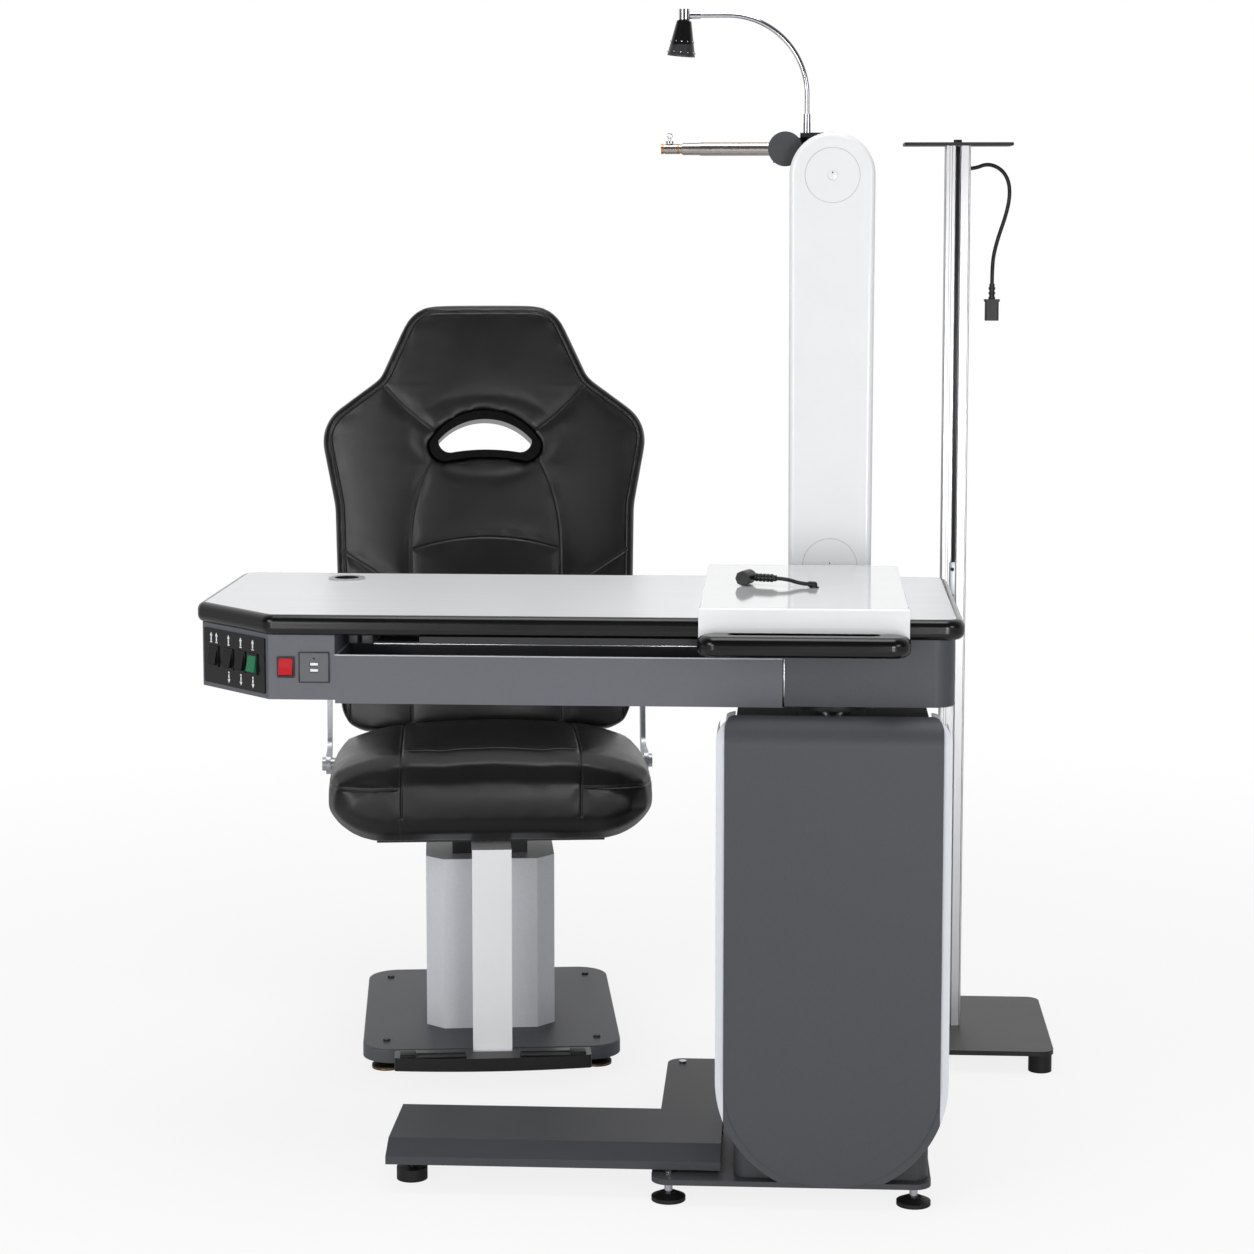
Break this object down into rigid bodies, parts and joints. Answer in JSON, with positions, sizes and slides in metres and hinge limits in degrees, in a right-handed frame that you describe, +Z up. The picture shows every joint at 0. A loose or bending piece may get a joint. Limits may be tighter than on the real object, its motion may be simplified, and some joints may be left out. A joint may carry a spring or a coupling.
{
  "type": "refraction unit",
  "caption": "Swivelling instrument table on a lift pedestal, with a tilting phoropter arm, lamp, sliding tray, lifting examination chair and a projector stand.",
  "frame": {"origin": "on the floor, under the middle of the whole set's footprint", "axes": "+Z up, +Y from the operator's side towards the chair, +X to the pedestal's side"},
  "size_m": [1.334, 1.242, 1.761],
  "materials": {
    "cover_grey": "fine matt powder coat, slate grey",
    "beam_grey": "fine matt powder coat, mid grey",
    "base_grey": "matt powder coat, dark grey",
    "silver_shell": "satin silver paint",
    "inner_steel": "plain dark steel",
    "column_silver": "satin silver-grey paint",
    "white_paint": "white satin paint",
    "laminate": "brushed light-grey laminate on board",
    "black_edge": "black moulded edge, half gloss",
    "black_rubber": "black rubber",
    "arm_white": "white gloss moulding",
    "tray_white": "white gloss moulding",
    "black_gloss": "black gloss moulding",
    "black_plastic": "black matt plastic",
    "socket_grey": "dark grey plastic",
    "rocker_red": "red translucent plastic",
    "rocker_green": "green translucent plastic",
    "chrome": "polished chrome",
    "steel": "ground steel",
    "aluminium": "natural anodised aluminium",
    "leather": "black soft leather, half gloss",
    "lens": "clear lens"
  },
  "bodies": {
    "base": {"base_frame": "base_grey", "levelling_pads": "black_rubber", "levelling_studs": "steel", "footrest_cover": "base_grey", "pedestal_box": "cover_grey", "pedestal_shell": "silver_shell", "pedestal_front_cover": "cover_grey", "lift_guide": "inner_steel", "lift_motors": "inner_steel", "chair_base": "base_grey", "chair_column": "column_silver", "stand_plate": "base_grey", "stand_profile": "aluminium", "stand_lead": "black_rubber", "stand_plug": "black_plastic"},
    "lift": {"lift_shaft": "chrome"},
    "table": {"swivel_hub": "chrome", "head_housing": "beam_grey", "beam": "beam_grey", "top_frame": "inner_steel", "tray_rails": "aluminium", "control_box": "beam_grey", "control_panel": "black_plastic", "switch_frames": "black_plastic", "charging_socket": "socket_grey", "tabletop": "laminate", "edge_band": "black_edge", "cable_grommet": "column_silver", "arm_bracket": "beam_grey"},
    "chair_switch": {"rocker_chair": "black_gloss"},
    "table_switch": {"rocker_table": "black_gloss"},
    "projector_switch": {"rocker_projector": "black_gloss"},
    "lamp_switch": {"rocker_lamp": "rocker_green"},
    "power_switch": {"rocker_power": "rocker_red"},
    "tray": {"tray_shell": "tray_white", "tray_runners": "black_plastic", "tray_handle": "black_gloss", "tray_gland": "black_plastic", "tray_lead": "black_rubber", "tray_plug": "black_plastic"},
    "arm": {"arm_cover": "arm_white", "arm_spine": "inner_steel"},
    "link": {"level_link": "steel"},
    "head": {"head_block": "inner_steel", "swing_pin": "chrome"},
    "knuckle": {"rod_knuckle": "base_grey"},
    "rod": {"tilt_drum": "base_grey", "instrument_rod": "steel"},
    "screw": {"ring_screw": "chrome"},
    "neck": {"swan_neck": "chrome"},
    "lamp": {"lamp_head": "black_gloss", "lamp_lens": "lens"},
    "chair": {"chair_lift_tube": "inner_steel", "foot_bar": "white_paint", "seat_cushion": "leather", "backrest": "leather", "grip_ring": "black_gloss", "back_brackets": "aluminium"},
    "chair_footrest": {"footrest": "black_plastic"},
    "platform": {"projector_platform": "base_grey"}
  },
  "joints": [
    {"name": "table_lift", "type": "slide", "parent": "base", "child": "lift", "axis": [0, 0, 1], "range_m": [0, 0.15]},
    {"name": "table_swivel", "type": "hinge", "parent": "lift", "child": "table", "pos_m": [0.286, -0.47102, 0.713], "axis": [0, 0, 1], "range_deg": [0, 90]},
    {"name": "tray_slide", "type": "slide", "parent": "table", "child": "tray", "axis": [-1, 0, 0], "range_m": [0, 0.38]},
    {"name": "arm_tilt", "type": "hinge", "parent": "table", "child": "arm", "pos_m": [0.286, 0.04798, 0.861], "axis": [0, -1, 0], "range_deg": [0, 60]},
    {"name": "link_swing", "type": "hinge", "parent": "table", "child": "link", "pos_m": [0.322, 0.04798, 0.861], "axis": [0, -1, 0], "range_deg": [0, 60]},
    {"name": "head_level", "type": "hinge", "parent": "arm", "child": "head", "pos_m": [0.286, 0.04798, 1.491], "axis": [0, -1, 0], "range_deg": [-60, 0]},
    {"name": "rod_swing", "type": "hinge", "parent": "head", "child": "knuckle", "pos_m": [0.245, 0.09498, 1.534], "axis": [0, 0, 1], "range_deg": [-75, 0]},
    {"name": "rod_tilt", "type": "hinge", "parent": "knuckle", "child": "rod", "pos_m": [0.21, 0.07838, 1.534], "axis": [0, 1, 0], "range_deg": [-15, 15]},
    {"name": "ring_screw_turn", "type": "hinge", "parent": "rod", "child": "screw", "pos_m": [0.022, 0.06538, 1.54225], "axis": [0, 0, 1], "range_deg": [-180, 180]},
    {"name": "lamp_swing", "type": "hinge", "parent": "head", "child": "neck", "pos_m": [0.245, 0.09498, 1.577], "axis": [0, 0, 1], "range_deg": [-90, 90]},
    {"name": "lamp_turn", "type": "hinge", "parent": "neck", "child": "lamp", "pos_m": [0.044, 0.09498, 1.751], "axis": [1, 0, 0], "range_deg": [-60, 60]},
    {"name": "chair_lift", "type": "slide", "parent": "base", "child": "chair", "axis": [0, 0, 1], "range_m": [0, 0.2]},
    {"name": "footrest_fold", "type": "hinge", "parent": "chair", "child": "chair_footrest", "pos_m": [-0.26466, -0.02886, 0.041], "axis": [-0.9925, -0.1219, 0], "range_deg": [0, 80]},
    {"name": "platform_turn", "type": "hinge", "parent": "base", "child": "platform", "pos_m": [0.498, 0.22898, 1.542], "axis": [0, 0, 1], "range_deg": [-180, 180]},
    {"name": "chair_switch_rock", "type": "hinge", "parent": "table", "child": "chair_switch", "pos_m": [-0.63543, -0.4356, 0.772], "axis": [0.7071, -0.7071, 0], "range_deg": [0, 12], "stiffness_Nm_per_rad": 0.2, "springref_deg": -5.73},
    {"name": "table_switch_rock", "type": "hinge", "parent": "table", "child": "table_switch", "pos_m": [-0.60794, -0.46308, 0.772], "axis": [0.7071, -0.7071, 0], "range_deg": [0, 12], "stiffness_Nm_per_rad": 0.2, "springref_deg": -5.73},
    {"name": "projector_switch_rock", "type": "hinge", "parent": "table", "child": "projector_switch", "pos_m": [-0.58549, -0.48554, 0.772], "axis": [0.7071, -0.7071, 0], "range_deg": [0, 12]},
    {"name": "lamp_switch_rock", "type": "hinge", "parent": "table", "child": "lamp_switch", "pos_m": [-0.56348, -0.50755, 0.772], "axis": [0.7071, -0.7071, 0], "range_deg": [0, 12]},
    {"name": "power_switch_rock", "type": "hinge", "parent": "table", "child": "power_switch", "pos_m": [-0.51178, -0.53402, 0.772], "axis": [1, 0, 0], "range_deg": [0, 12]}
  ],
  "couplings": [
    {"joint": "link_swing", "follows": "arm_tilt", "ratio": 1},
    {"joint": "head_level", "follows": "arm_tilt", "ratio": -1}
  ]
}
